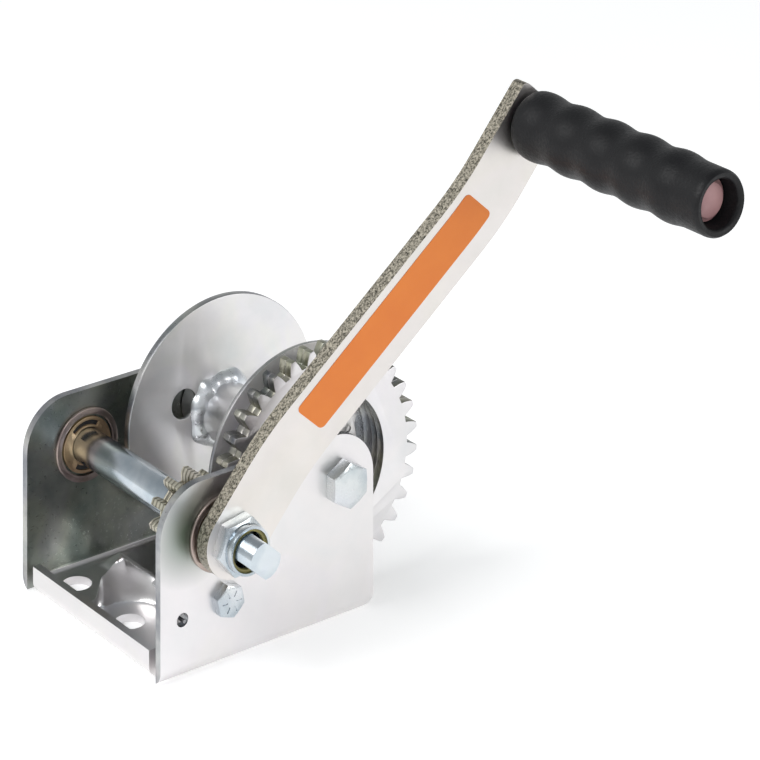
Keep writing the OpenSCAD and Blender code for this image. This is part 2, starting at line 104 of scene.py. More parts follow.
def prism(name, outline, x_start, x_end):
    """Solid between two X planes with an outline given as (y, z)."""
    bm = bmesh.new()
    near = [bm.verts.new((x_start, y, z)) for y, z in outline]
    far = [bm.verts.new((x_end, y, z)) for y, z in outline]
    count = len(outline)
    bm.faces.new(near)
    bm.faces.new(far)
    for i in range(count):
        j = (i + 1) % count
        bm.faces.new((near[i], near[j], far[j], far[i]))
    return from_bmesh(name, bm)


def grid_solid(bm, rows, closed_loop=False):
    """Skins rows of points: each row is a closed section, and the ends are capped or joined."""
    rings = [[bm.verts.new(p) for p in row] for row in rows]
    count = len(rings[0])
    last = len(rings) if closed_loop else len(rings) - 1
    for i in range(last):
        a, b = rings[i], rings[(i + 1) % len(rings)]
        for j in range(count):
            k = (j + 1) % count
            bm.faces.new((a[j], a[k], b[k], b[j]))
    if not closed_loop:
        bm.faces.new(rings[0])
        bm.faces.new(rings[-1])


def lathe_rows(centre, profile, steps):
    """Sections of a closed (x, radius) profile turned about the X axis through centre."""
    rows = []
    for i in range(steps):
        a = 2 * math.pi * i / steps
        rows.append([Vector((x, centre.y + r * math.cos(a), centre.z + r * math.sin(a)))
                     for x, r in profile])
    return rows


def apply_boolean(target, cutter, operation):
    """Cuts or joins with another object, which is used up."""
    modifier = target.modifiers.new("cut", "BOOLEAN")
    modifier.operation = operation
    modifier.object = cutter
    modifier.solver = "EXACT"
    depsgraph = bpy.context.evaluated_depsgraph_get()
    result = bpy.data.meshes.new_from_object(target.evaluated_get(depsgraph))
    target.modifiers.clear()
    target.data = result
    bpy.data.objects.remove(cutter)


def drill_x(target, y, z, radius, x_start, x_end, steps=64):
    """Round hole along X through a piece."""
    circle = arc(y, z, radius, 0, 360 - 360 / steps, steps - 1)
    apply_boolean(target, prism("drill", circle, x_start, x_end), "DIFFERENCE")


def soften(piece, width, segments, angle):
    """Small bevel on the edges sharper than an angle in degrees."""
    modifier = piece.modifiers.new("soft_edges", "BEVEL")
    modifier.width = width
    modifier.segments = segments
    modifier.limit_method = "ANGLE"
    modifier.angle_limit = math.radians(angle)
    modifier.harden_normals = True
    modifier.use_clamp_overlap = True


def finish_piece(piece, body, materials, node):
    """Gives a piece its materials and its body, and hides the CAD node that it stands for."""
    for material in materials:
        piece.data.materials.append(material)
    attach(piece, body)
    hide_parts(node)


# ---------------------------------------------------------------- material helpers
def node_material(name):
    """New material, with its node tree, its shader and its coordinates in metres."""
    material = bpy.data.materials.new(name)
    material.use_nodes = True
    tree = material.node_tree
    shader = tree.nodes["Principled BSDF"]
    place = tree.nodes.new("ShaderNodeTexCoord")
    return material, tree, shader, place.outputs["Object"]


def noise_node(tree, place, scale, detail=4.0, roughness=0.55, distortion=0.0):
    """Noise value from 0 to 1, mostly between 0.3 and 0.7."""
    node = tree.nodes.new("ShaderNodeTexNoise")
    node.inputs["Scale"].default_value = scale
    node.inputs["Detail"].default_value = detail
    node.inputs["Roughness"].default_value = roughness
    node.inputs["Distortion"].default_value = distortion
    tree.links.new(place, node.inputs["Vector"])
    return node.outputs["Fac"]


def ramp(tree, value, stops):
    """Colour of a value, from stops given as (position, colour)."""
    node = tree.nodes.new("ShaderNodeValToRGB")
    elements = node.color_ramp.elements
    while len(elements) < len(stops):
        elements.new(0.5)
    for element, (position, colour) in zip(elements, stops):
        element.position = position
        element.color = (*colour, 1.0)
    tree.links.new(value, node.inputs["Fac"])
    return node.outputs["Color"]


def remap(tree, value, low, high, from_low=0.3, from_high=0.7):
    """Stretches a value from one range to another, and holds it inside."""
    node = tree.nodes.new("ShaderNodeMapRange")
    node.inputs["From Min"].default_value = from_low
    node.inputs["From Max"].default_value = from_high
    node.inputs["To Min"].default_value = low
    node.inputs["To Max"].default_value = high
    tree.links.new(value, node.inputs["Value"])
    return node.outputs["Result"]


def mix_colour(tree, factor, a, b, blend="MIX"):
    """Mixes two colours, each a socket or a plain colour."""
    node = tree.nodes.new("ShaderNodeMix")
    node.data_type = "RGBA"
    node.blend_type = blend
    if isinstance(factor, float):
        node.inputs["Factor"].default_value = factor
    else:
        tree.links.new(factor, node.inputs["Factor"])
    for socket, value in ((node.inputs[6], a), (node.inputs[7], b)):
        if isinstance(value, tuple):
            socket.default_value = (*value, 1.0)
        else:
            tree.links.new(value, socket)
    return node.outputs[2]


def add_bump(tree, shader, height, strength, distance):
    """Bumps the shader's surface by a height value."""
    node = tree.nodes.new("ShaderNodeBump")
    node.inputs["Strength"].default_value = strength
    node.inputs["Distance"].default_value = distance
    tree.links.new(height, node.inputs["Height"])
    tree.links.new(node.outputs["Normal"], shader.inputs["Normal"])


def near_point(tree, place, centre, inner, outer):
    """1 within the inner distance of centre, and 0 past the outer one."""
    distance = tree.nodes.new("ShaderNodeVectorMath")
    distance.operation = "DISTANCE"
    distance.inputs[1].default_value = centre
    tree.links.new(place, distance.inputs[0])
    return remap(tree, distance.outputs["Value"], 1.0, 0.0, inner, outer)


DARK_PATCH_GREEN = (0.19, 0.24, 0.20)


def zinc(name, base, shade, rough=(0.16, 0.30), tint=0.25, grain=900, bump=0.12, dark_patch=None):
    """Plated steel: cloudy base colour, a faint yellow, green and violet passivate tint, fine
    grain in the roughness and the surface. dark_patch is the middle of a darker green patch in the colour."""
    material, tree, shader, place = node_material(name)
    shader.inputs["Metallic"].default_value = 1.0
    cloud = noise_node(tree, place, 70, 3)
    colour = ramp(tree, cloud, [(0.35, shade), (0.62, base)])
    film = noise_node(tree, place, 32, 2, 0.5, 1.2)
    tints = ramp(tree, film, [(0.30, (0.62, 0.80, 0.70)), (0.44, (0.95, 0.93, 0.74)),
                              (0.55, (0.90, 0.82, 0.93)), (0.70, (0.78, 0.88, 0.96))])
    colour = mix_colour(tree, tint, colour, tints, "MULTIPLY")
    # The colour turns dark green round one point.
    if dark_patch:
        around = near_point(tree, place, dark_patch, inner=3 * MM, outer=19 * MM)
        colour = mix_colour(tree, around, colour, DARK_PATCH_GREEN)
    tree.links.new(colour, shader.inputs["Base Color"])
    fine = noise_node(tree, place, grain, 4, 0.6)
    tree.links.new(remap(tree, fine, *rough), shader.inputs["Roughness"])
    add_bump(tree, shader, fine, bump, 0.00004)
    return material


def speckled_steel(name, dark, light, grain, rough=(0.3, 0.6), bump=0.5):
    """Sheared or etched metal: dark and light grains."""
    material, tree, shader, place = node_material(name)
    shader.inputs["Metallic"].default_value = 0.9
    grains = noise_node(tree, place, grain, 6, 0.72)
    middle = tuple((a + b) / 2 for a, b in zip(dark, light))
    colour = ramp(tree, grains, [(0.40, dark), (0.50, middle), (0.60, light)])
    tree.links.new(colour, shader.inputs["Base Color"])
    tree.links.new(remap(tree, grains, *rough), shader.inputs["Roughness"])
    add_bump(tree, shader, grains, bump, 0.00015)
    return material


def moulded(name, base, shade, grain, rough=(0.45, 0.6), bump=0.3, depth=0.0001, gloss=0.5):
    """Plastic: slight colour variation and a moulded grain."""
    material, tree, shader, place = node_material(name)
    shader.inputs["Specular IOR Level"].default_value = gloss
    cloud = noise_node(tree, place, 60, 3)
    tree.links.new(ramp(tree, cloud, [(0.35, shade), (0.65, base)]), shader.inputs["Base Color"])
    fine = noise_node(tree, place, grain, 3, 0.55)
    tree.links.new(remap(tree, fine, *rough), shader.inputs["Roughness"])
    add_bump(tree, shader, fine, bump, depth)
    return material


# ---------------------------------------------------------------- materials
# Each has its light colour, then its shade.
# Darker green patch in the near plate's colour, round a point in front of the shaft.
DARK_PATCH_PLACE = Vector((NEAR_OUT, SHAFT.y - 13 * MM, SHAFT.z + 3 * MM))
SHEET_ZINC = zinc("sheet_zinc", (0.79, 0.77, 0.775), (0.76, 0.745, 0.75),
                  rough=(0.30, 0.36), tint=0.06, bump=0.02, dark_patch=DARK_PATCH_PLACE)
# Painted shade and painted dark reflection: colour for the inside face of the far plate.
FAR_INSIDE_PAINTED_SHADE = zinc("far_inside_painted_shade", (0.36, 0.38, 0.35), (0.24, 0.27, 0.25),
                  rough=(0.26, 0.36), tint=0.3, bump=0.02)
EDGE_ZINC = zinc("edge_zinc", (0.52, 0.52, 0.51), (0.24, 0.25, 0.27),
                 rough=(0.25, 0.45), tint=0.2, grain=1500, bump=0.2)
RING_ZINC = zinc("ring_zinc", (0.46, 0.38, 0.35), (0.25, 0.20, 0.19),
                 rough=(0.25, 0.45), tint=0.2, grain=1500, bump=0.2)
FLANGE_ZINC = zinc("flange_zinc", (0.82, 0.81, 0.81), (0.76, 0.76, 0.76),
                   rough=(0.34, 0.42), tint=0.12, grain=800, bump=0.02)
GEAR_ZINC = zinc("gear_zinc", (0.80, 0.78, 0.79), (0.75, 0.74, 0.75),
                 rough=(0.34, 0.42), tint=0.06, bump=0.02)
FLANK_ZINC = zinc("flank_zinc", (0.44, 0.43, 0.36), (0.14, 0.15, 0.16),
                  rough=(0.25, 0.45), tint=0.4, grain=1400, bump=0.2)
PINION_ZINC = zinc("pinion_zinc", (0.66, 0.63, 0.54), (0.40, 0.38, 0.31),
                   rough=(0.25, 0.42), tint=0.25, grain=1200, bump=0.3)
# Painted shade: darker colour for the floors of the pinion's grooves.
GROOVE_PAINTED_SHADE = zinc("groove_painted_shade", (0.34, 0.32, 0.26), (0.18, 0.17, 0.14),
                   rough=(0.3, 0.5), tint=0.1, grain=1200, bump=0.3)
ARM_ZINC = zinc("arm_zinc", (0.76, 0.725, 0.70), (0.72, 0.69, 0.66),
                rough=(0.30, 0.38), tint=0.06, bump=0.02)
SHAFT_STEEL = zinc("shaft_steel", (0.66, 0.71, 0.75), (0.48, 0.55, 0.61),
                   rough=(0.17, 0.21), tint=0.06, grain=500, bump=0.01)
BOLT_ZINC = zinc("bolt_zinc", (0.68, 0.71, 0.73), (0.44, 0.50, 0.54),
                 rough=(0.18, 0.3), tint=0.12, grain=1100, bump=0.1)
WELD = zinc("weld_bead", (0.80, 0.83, 0.85), (0.56, 0.61, 0.65),
            rough=(0.24, 0.36), tint=0.15, grain=700, bump=0.05)
BRONZE = zinc("bronze", (0.62, 0.45, 0.27), (0.42, 0.29, 0.19),
              rough=(0.25, 0.45), tint=0.1, grain=1300, bump=0.3)
WIRE_STEEL = zinc("wire_steel", (0.50, 0.50, 0.50), (0.28, 0.28, 0.29),
                  rough=(0.25, 0.4), tint=0.1)
SHEARED = speckled_steel("sheared_edge", (0.07, 0.065, 0.05), (0.60, 0.55, 0.45),
                         grain=1200, rough=(0.3, 0.5), bump=0.3)
# Near-black colour for the floors of the bushings' crescent pockets.
POCKET_DARK = moulded("pocket_near_black", (0.02, 0.02, 0.02), (0.01, 0.01, 0.01),
                      grain=900, rough=(0.3, 0.5), bump=0.1)
BLACK_PLASTIC = moulded("grip_plastic", (0.006, 0.006, 0.007), (0.003, 0.003, 0.004),
                        grain=1000, rough=(0.40, 0.55), bump=0.5, depth=0.0003, gloss=0.28)
OLIVE_NYLON = moulded("olive_nylon", (0.36, 0.31, 0.10), (0.22, 0.19, 0.07), grain=900)
WHITE_NYLON = moulded("white_nylon", (0.80, 0.79, 0.74), (0.70, 0.69, 0.64), grain=900)
PINK_WASHER = moulded("end_washer_finish", (0.42, 0.24, 0.24), (0.30, 0.15, 0.16),
                      grain=700, rough=(0.3, 0.45), bump=0.15)
LABEL_ORANGE = moulded("label_orange", (0.74, 0.20, 0.02), (0.71, 0.18, 0.018),
                       grain=1500, rough=(0.35, 0.45), bump=0.02)


# ---------------------------------------------------------------- folded frame
FOLD = 5 * MM
FRONT_ARC = 17.5 * MM
PLATE_TOP = FRAME_HIGH.z
REAR_ARC = PLATE_TOP - DRUM.z
FRONT = FRAME_LOW.y
REAR = FRAME_HIGH.y
LIP_TOP = 10.3 * MM
LIP_GAP = 4.1 * MM
BASE_HOLE = MOUNTS["front_base_holes"]["dims"]["hole_r_mm"] * MM
HOLE_SPREAD = MOUNTS["front_base_holes"]["dims"]["spacing_x_mm"] * MM / 2
HOLE_X, HOLE_Y, _ = MOUNTS["front_base_holes"]["pos_m"]
REAR_HOLE = Vector(MOUNTS["rear_base_hole"]["pos_m"])
PAWL = Vector(JOINTS["pawl_pivot"]["pos_m"])
SPRING_HOLE = (FRONT + 9.2 * MM, 20.8 * MM)
SPRING_HOLE_RADIUS = 2.4 * MM
BUSHING_FLANGE = 1.7 * MM
PAD_RADIUS = 15 * MM
HUMP_FRONT = FRONT + 11 * MM
HUMP_PEAK = HUMP_FRONT + 11 * MM
HUMP_BACK = FRONT + 40 * MM


def smooth_step(value, low, high):
    """0 below low, 1 above high, with a smooth rise between them."""
    t = min(1.0, max(0.0, (value - low) / (high - low)))
    return t * t * (3 - 2 * t)


def hump_height(x, y):
    """Height of the pressing in the floor above the flat sheet: a steep wall round the two
    hole pads, a front slope up to the crest, and slopes to the back and both sides."""
    side = abs(x - HOLE_X)
    pad_distance = math.hypot(side - HOLE_SPREAD, y - HOLE_Y)
    wall = smooth_step(pad_distance, PAD_RADIUS - 0.8 * MM, PAD_RADIUS + 3.2 * MM)
    wall *= smooth_step(y, HUMP_FRONT - 0.5 * MM, HUMP_FRONT + 2.5 * MM)
    wall_top = 9 * MM
    crest = 14 * MM
    if y < HUMP_PEAK:
        lengthwise = wall_top + (crest - wall_top) * (y - HUMP_FRONT) / (HUMP_PEAK - HUMP_FRONT)
    else:
        lengthwise = crest * (HUMP_BACK - y) / (HUMP_BACK - HUMP_PEAK)
    flat_half = 7.3 * MM
    foot_half = 26 * MM
    crosswise = crest * (foot_half - side) / (foot_half - flat_half)
    return wall * max(0.0, min(crest, lengthwise, crosswise))


def channel_loop():
    """U section of the sheet in (x, z), a little taller than the finished plates."""
    floor_steps = 150
    half = NEAR_OUT - FOLD
    loop = arc(half, FOLD, FOLD, -90, 0, 8)
    loop += [(NEAR_OUT, PLATE_TOP + FOLD), (NEAR_IN, PLATE_TOP + FOLD)]
    loop += arc(half, FOLD, FOLD - SHEET, 0, -90, 8)
    loop += [(half - 2 * half * i / floor_steps, SHEET) for i in range(1, floor_steps)]
    loop += arc(-half, FOLD, FOLD - SHEET, 270, 180, 8)
    loop += [(FAR_IN, PLATE_TOP + FOLD), (FAR_OUT, PLATE_TOP + FOLD)]
    loop += arc(-half, FOLD, FOLD, 180, 270, 8)
    loop += [(-half + 2 * half * i / floor_steps, 0.0) for i in range(1, floor_steps)]
    return loop


def plate_outline():
    """Outline of a side plate in (y, z), with its rear foot and both top corners rounded."""
    corner = 6 * MM
    outline = [(FRONT, -MM), (REAR - corner, -MM), (REAR - corner, 0.0)]
    outline += arc(REAR - corner, corner, corner, -90, 0, 8)[1:]
    outline += arc(REAR - REAR_ARC, DRUM.z, REAR_ARC, 0, 90, 16)
    outline += arc(FRONT + FRONT_ARC, PLATE_TOP - FRONT_ARC, FRONT_ARC, 90, 180, 24)
    return outline


def box_object(name, low, high):
    """Box between two corners."""
    bm = bmesh.new()
    bmesh.ops.create_cube(bm, size=1.0)
    for v in bm.verts:
        v.co = Vector([low[i] if v.co[i] < 0 else high[i] for i in range(3)])
    return from_bmesh(name, bm)


def drill_z(target, x, y, radius, steps=64):
    """Round hole along Z through the floor of the frame."""
    bm = bmesh.new()
    rows = [[Vector((x + radius * math.cos(2 * math.pi * i / steps),
                     y + radius * math.sin(2 * math.pi * i / steps), z)) for i in range(steps)]
            for z in (-SHEET, 2 * SHEET)]
    grid_solid(bm, rows)
    apply_boolean(target, from_bmesh("drill", bm), "DIFFERENCE")


def sheet_channel():
    """Folded channel with its pressed hump, longer and taller than the finished frame."""
    bm = bmesh.new()
    loop = channel_loop()
    fine_pitch = 0.6 * MM
    coarse_pitch = 3 * MM
    y = FRONT - FOLD
    rows = []
    while y < REAR + FOLD:
        row = []
        for x, z in loop:
            lift = hump_height(x, y) if z < SHEET * 1.01 else 0.0
            row.append(Vector((x, y, z + lift)))
        rows.append(row)
        y += fine_pitch if HUMP_FRONT - FOLD < y < HUMP_BACK else coarse_pitch
    grid_solid(bm, rows)
    return from_bmesh("frame_sheet", bm)


def add_lip(piece):
    """Cuts the floor back between the side plates and folds up the narrower front lip."""
    slot = box_object("slot", (-NEAR_IN, FRONT - FOLD, -FOLD), (NEAR_IN, FRONT + FOLD, FOLD + MM))
    apply_boolean(piece, slot, "DIFFERENCE")
    lip_half = NEAR_IN - LIP_GAP
    lip_root = FRONT + FOLD
    into_floor = lip_root + 0.6 * MM
    lip = [(into_floor, SHEET), (into_floor, 0.0)]
    lip += arc(lip_root, FOLD, FOLD, 270, 180, 10)
    lip += [(FRONT, LIP_TOP), (FRONT + SHEET, LIP_TOP)]
    lip += arc(lip_root, FOLD, FOLD - SHEET, 180, 270, 8)
    apply_boolean(piece, prism("lip", lip, -lip_half, lip_half), "UNION")


def drill_frame(piece):
    """Base holes, and the holes for both bushings, both bolts and the spring's hook."""
    for side in (-1, 1):
        drill_z(piece, HOLE_X + side * HOLE_SPREAD, HOLE_Y, BASE_HOLE)
    drill_z(piece, REAR_HOLE.x, REAR_HOLE.y, BASE_HOLE)
    bushing_low, bushing_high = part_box("bushing_far")
    bushing_hole = (bushing_high.z - bushing_low.z) / 2 - BUSHING_FLANGE
    for x in (FAR_OUT, NEAR_IN):
        drill_x(piece, SHAFT.y, SHAFT.z, bushing_hole, x - MM, x + SHEET + MM)
        drill_x(piece, DRUM.y, DRUM.z, DRUM_BOLT_RADIUS, x - MM, x + SHEET + MM)
    drill_x(piece, PAWL.y, PAWL.z, PAWL_BOLT_RADIUS, NEAR_IN - MM, NEAR_OUT + MM)
    drill_x(piece, *SPRING_HOLE, SPRING_HOLE_RADIUS, NEAR_IN - MM, NEAR_OUT + MM)


def build_frame():
    """Frame sheet, with darker cut edges on its plates. The inside face of the far plate is coloured
    dark as painted shade and a painted dark reflection.
    """
    piece = sheet_channel()
    apply_boolean(piece, prism("outline", plate_outline(), FAR_OUT - FOLD, NEAR_OUT + FOLD), "INTERSECT")
    add_lip(piece)
    drill_frame(piece)
    for face in piece.data.polygons:
        in_plate = abs(face.center.x) > NEAR_IN - NEARLY and face.center.z > FOLD
        if in_plate and abs(face.normal.x) < 0.5:
            face.material_index = 1
        # The far plate's inside face gets the painted shade and painted dark reflection.
        elif face.center.x < FAR_IN + NEARLY and face.normal.x > 0.5:
            face.material_index = 2
        else:
            face.material_index = 0
    piece.data.shade_smooth()
    piece.data.set_sharp_from_angle(angle=math.radians(35))
    finish_piece(piece, "frame", [SHEET_ZINC, EDGE_ZINC, FAR_INSIDE_PAINTED_SHADE], "frame")
    soften(piece, width=0.45 * MM, segments=2, angle=50)


# ---------------------------------------------------------------- crank arm and label
ARM_LOW, ARM_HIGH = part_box("handle_arm")
ARM_HALF = 12.5 * MM
ARM_THICK = 6 * MM
ARM_INNER = ARM_LOW.x
JOGGLE = ARM_HIGH.x - ARM_INNER - ARM_THICK
BEND_START = 20 * MM
BEND_END = 150 * MM
BEND_EASE = 0.19
ARM_END = CRANK_RADIUS + 10 * MM
ARM_CORNER = 2.5 * MM
SHAFT_FLAT_HALF = 4.85 * MM
AXLE_HOLE_RADIUS = 3.9 * MM


def joggle_at(s):
    """Sideways offset of the arm at a distance s along it, easing in and out of the slope."""
    ease = BEND_EASE
    t = min(1.0, max(0.0, (s - BEND_START) / (BEND_END - BEND_START)))
    if t > 1 - ease:
        return JOGGLE * (1 - (1 - t) ** 2 / (2 * ease * (1 - ease)))
    if t < ease:
        return JOGGLE * t ** 2 / (2 * ease * (1 - ease))
    return JOGGLE * (t - ease / 2) / (1 - ease)


def arm_point(x, s, w):
    """Point of the crank: x outwards, s along the arm from the shaft, w across it."""
    c, n = math.cos(CRANK_ANGLE), math.sin(CRANK_ANGLE)
    return Vector((x, SHAFT.y + s * c - w * n, SHAFT.z + s * n + w * c))


def arm_half_at(s):
    """Half width of the arm at a distance s from the shaft: round at the shaft, small corners at
    the grip."""
    if s < 0:
        return math.sqrt(max(0.0, ARM_HALF ** 2 - s ** 2))
    into_corner = s - ARM_END + ARM_CORNER
    if into_corner > 0:
        return ARM_HALF - ARM_CORNER + math.sqrt(max(0.0, ARM_CORNER ** 2 - into_corner ** 2))
    return ARM_HALF


def arm_stations():
    """Distances from the shaft: closer together round the shaft end and at the grip's corners."""
    round_steps = 14
    straight_steps = 58
    corner_steps = 5
    off_tip = 0.02 * MM
    straight = ARM_END - ARM_CORNER
    stations = [-ARM_HALF * math.cos(math.pi / 2 * i / round_steps) for i in range(round_steps)]
    stations[0] += off_tip
    stations += [straight * i / straight_steps for i in range(straight_steps)]
    for i in range(corner_steps + 1):
        stations.append(straight + ARM_CORNER * math.sin(math.pi / 2 * i / corner_steps))
    return stations


def cut_shaft_hole(piece):
    """Hole with two flats where the arm sits on the shaft."""
    flat_rise = math.sqrt(SHAFT_RADIUS ** 2 - SHAFT_FLAT_HALF ** 2)
    flat_angle = math.degrees(math.atan2(flat_rise, SHAFT_FLAT_HALF))
    hole = arc(0, 0, SHAFT_RADIUS, flat_angle, 180 - flat_angle, 16)
    hole += arc(0, 0, SHAFT_RADIUS, 180 + flat_angle, 360 - flat_angle, 16)
    turned = [arm_point(0, s, w) for s, w in hole]
    cutter = prism("hole", [(p.y, p.z) for p in turned], ARM_INNER - MM, ARM_INNER + ARM_THICK + MM)
    apply_boolean(piece, cutter, "DIFFERENCE")


def build_arm():
    """Bent flat bar with sheared edges, a shaft hole and a hole for the grip's axle."""
    columns = 8
    least_half = 0.3 * MM
    bm = bmesh.new()
    rows = []
    for s in arm_stations():
        half = max(least_half, arm_half_at(s))
        x = ARM_INNER + joggle_at(s)
        outer = [arm_point(x + ARM_THICK, s, half * (2 * j / columns - 1)) for j in range(columns + 1)]
        inner = [arm_point(x, s, half * (1 - 2 * j / columns)) for j in range(columns + 1)]
        rows.append(outer + inner)
    grid_solid(bm, rows)
    piece = from_bmesh("crank_arm", bm)
    cut_shaft_hole(piece)
    centre = arm_point(0, CRANK_RADIUS, 0)
    drill_x(piece, centre.y, centre.z, AXLE_HOLE_RADIUS, ARM_HIGH.x - 8 * MM, ARM_HIGH.x + 2 * MM)
    across = arm_point(0, 0, 1) - arm_point(0, 0, 0)
    for face in piece.data.polygons:
        sheared = abs(face.normal.dot(across)) > 0.5 or abs(face.normal.x) < 0.5
        face.material_index = 1 if sheared else 0
    piece.data.shade_smooth()
    piece.data.set_sharp_from_angle(angle=math.radians(35))
    finish_piece(piece, "crank", [ARM_ZINC, SHEARED], "handle_arm")
    soften(piece, width=1.0 * MM, segments=3, angle=40)


def label_half_at(s, half_length, half_width, corner):
    """Half width of a rounded rectangle at a distance s from its middle."""
    into_corner = abs(s) - (half_length - corner)
    if into_corner <= 0:
        return half_width
    return half_width - corner + math.sqrt(max(0.0, corner ** 2 - into_corner ** 2))


def label_stations(half_length, corner):
    """Distances from the label's middle: close together round the corners."""
    steps = 40
    corner_steps = 6
    straight = half_length - corner
    stations = [straight * (2 * i / steps - 1) for i in range(steps + 1)]
    ends = [straight + corner * math.sin(math.pi / 2 * i / corner_steps)
            for i in range(1, corner_steps + 1)]
    return [-s for s in reversed(ends)] + stations + ends


def build_label():
    """Plain orange film that follows the arm's curved outer face, with no lettering."""
    half_length = 45.75 * MM
    half_width = 7.3 * MM
    least_half = 0.05 * MM
    corner = 2 * MM
    middle = 91.7 * MM
    shift = 2.1 * MM
    film = 0.14 * MM
    glue_gap = 0.02 * MM
    columns = 4
    bm = bmesh.new()
    rows = []
    for s in label_stations(half_length, corner):
        half = max(least_half, label_half_at(s, half_length, half_width, corner))
        x = ARM_INNER + ARM_THICK + joggle_at(middle + s)
        shares = [2 * j / columns - 1 for j in range(columns + 1)]
        row = [arm_point(x + film, middle + s, shift + half * share) for share in shares]
        row += [arm_point(x + glue_gap, middle + s, shift - half * share) for share in shares]
        rows.append(row)
    grid_solid(bm, rows)
    piece = from_bmesh("arm_label", bm, 30)
    finish_piece(piece, "crank", [LABEL_ORANGE], "handle_label")


# ---------------------------------------------------------------- grip
def grip_radius_at(d, length):
    """Outer radius at a distance d from the arm: finger waves, with both ends rounded over."""
    outer_radius = 12 * MM
    swell = 0.45 * MM
    pitch = 18 * MM
    first_crest = 6 * MM
    last_valley = first_crest + 4.5 * pitch
    wave = math.cos(2 * math.pi * (d - first_crest) / pitch) if d < last_valley else -1
    radius = outer_radius + swell * wave
    radius -= 1.6 * MM * max(0.0, 1 - d / (3 * MM)) ** 2
    radius -= 0.9 * MM * max(0.0, 1 - (length - d) / (2 * MM)) ** 2
    return radius


def build_grip():
    """Finger grip turned about its axle, with a wide pocket in its open end."""
    low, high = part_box("grip")
    length = high.x - low.x
    bore = 4.98 * MM
    face_radius = 9.6 * MM
    pocket = 8.4 * MM
    pocket_floor = length - 9 * MM
    edge = 1.2 * MM
    profile = [(0.0, bore), (0.0, face_radius)]
    steps = 90
    for i in range(steps + 1):
        d = length * i / steps
        profile.append((d, grip_radius_at(d, length)))
    profile += [(length - 0.1 * MM, pocket + edge), (length - 0.5 * MM, pocket + 0.5 * MM),
                (length - 1.4 * MM, pocket), (pocket_floor + edge, pocket),
                (pocket_floor, pocket - edge), (pocket_floor, bore)]
    profile = [(low.x + x, r) for x, r in profile]
    bm = bmesh.new()
    grid_solid(bm, lathe_rows(GRIP, profile, 96), closed_loop=True)
    piece = from_bmesh("hand_grip", bm, 50)
    finish_piece(piece, "grip", [BLACK_PLASTIC], "grip")


# ---------------------------------------------------------------- pieces refined from the CAD
SHARP = math.radians(32)


def cad_bmesh(node):
    """Clean copy of a CAD node: shared corners joined and flat areas merged."""
    bm = bmesh.new()
    bm.from_mesh(frame["nodes"][node].data)
    bmesh.ops.remove_doubles(bm, verts=bm.verts, dist=0.002 * MM)
    bmesh.ops.dissolve_limit(bm, angle_limit=math.radians(0.6), verts=bm.verts, edges=bm.edges)
    return bm


def refine(node, width, materials):
    """Visible piece for a CAD node, with eased edges. A second material, where there is one, goes
    on the flanks, whose normals lie across X."""
    bm = cad_bmesh(node)
    bm.normal_update()
    sharp = [e for e in bm.edges if len(e.link_faces) == 2 and e.calc_face_angle(0) > SHARP]
    if sharp:
        bmesh.ops.bevel(bm, geom=sharp, offset=width, segments=2, profile=0.5,
                        affect="EDGES", clamp_overlap=True)
    bm.normal_update()
    if len(materials) > 1:
        for face in bm.faces:
            face.material_index = 1 if abs(face.normal.x) < 0.5 else 0
    piece = from_bmesh(node + "_part", bm)
    finish_piece(piece, BODY_OF[node], materials, node)
    return piece


def build_bushing(node):
    """Flanged bushing whose two crescent pockets are coloured near black."""
    piece = refine(node, 0.15 * MM, [BRONZE])
    piece.data.materials.append(POCKET_DARK)
    flange_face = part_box(node)[1].x
    for face in piece.data.polygons:
        below = flange_face - face.center.x
        if 0.2 * MM < below < 0.9 * MM and face.normal.x > 0.9:
            face.material_index = 1


def build_pinion():
    """Pinion with fine cross grooves along its teeth, coloured darker than the ribs between them as
    painted shade.
    """
    bm = cad_bmesh("pinion")
    low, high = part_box("pinion")
    groove_count = 10
    pitch = (high.x - low.x) / groove_count
    groove_depth = 0.22 * MM
    half_groove = 0.21 * pitch
    grooves = [low.x + pitch * (i + 0.5) for i in range(groove_count)]
    for middle in grooves:
        for x in (middle - half_groove, middle, middle + half_groove):
            geometry = bm.verts[:] + bm.edges[:] + bm.faces[:]
            bmesh.ops.bisect_plane(bm, geom=geometry, dist=1e-7, plane_co=(x, 0, 0), plane_no=(1, 0, 0))
    bm.normal_update()
    moves = []
    for v in bm.verts:
        radius = math.hypot(v.co.y - SHAFT.y, v.co.z - SHAFT.z)
        if radius > SHAFT_RADIUS + MM and min(abs(v.co.x - x) for x in grooves) < 0.01 * MM:
            moves.append((v, v.normal.copy()))
    for v, normal in moves:
        v.co -= normal * groove_depth
    for face in bm.faces:
        # Groove floors take the painted shade.
        middle = face.calc_center_median()
        in_groove = min(abs(middle.x - x) for x in grooves) < half_groove
        face.material_index = 1 if in_groove and abs(face.normal.x) < 0.9 else 0
    piece = from_bmesh("pinion_gear", bm, 30)
    finish_piece(piece, "crank", [PINION_ZINC, GROOVE_PAINTED_SHADE], "pinion")


# ---------------------------------------------------------------- weld beads
# Section of a bead, as shares of its size: along X from the face, and outwards.
BEAD_SECTION = ((-0.05, -0.05), (1.0, -0.05), (0.92, 0.30), (0.68, 0.60), (0.36, 0.88), (-0.05, 1.0))
BEAD_STEP = 1.1 * MM


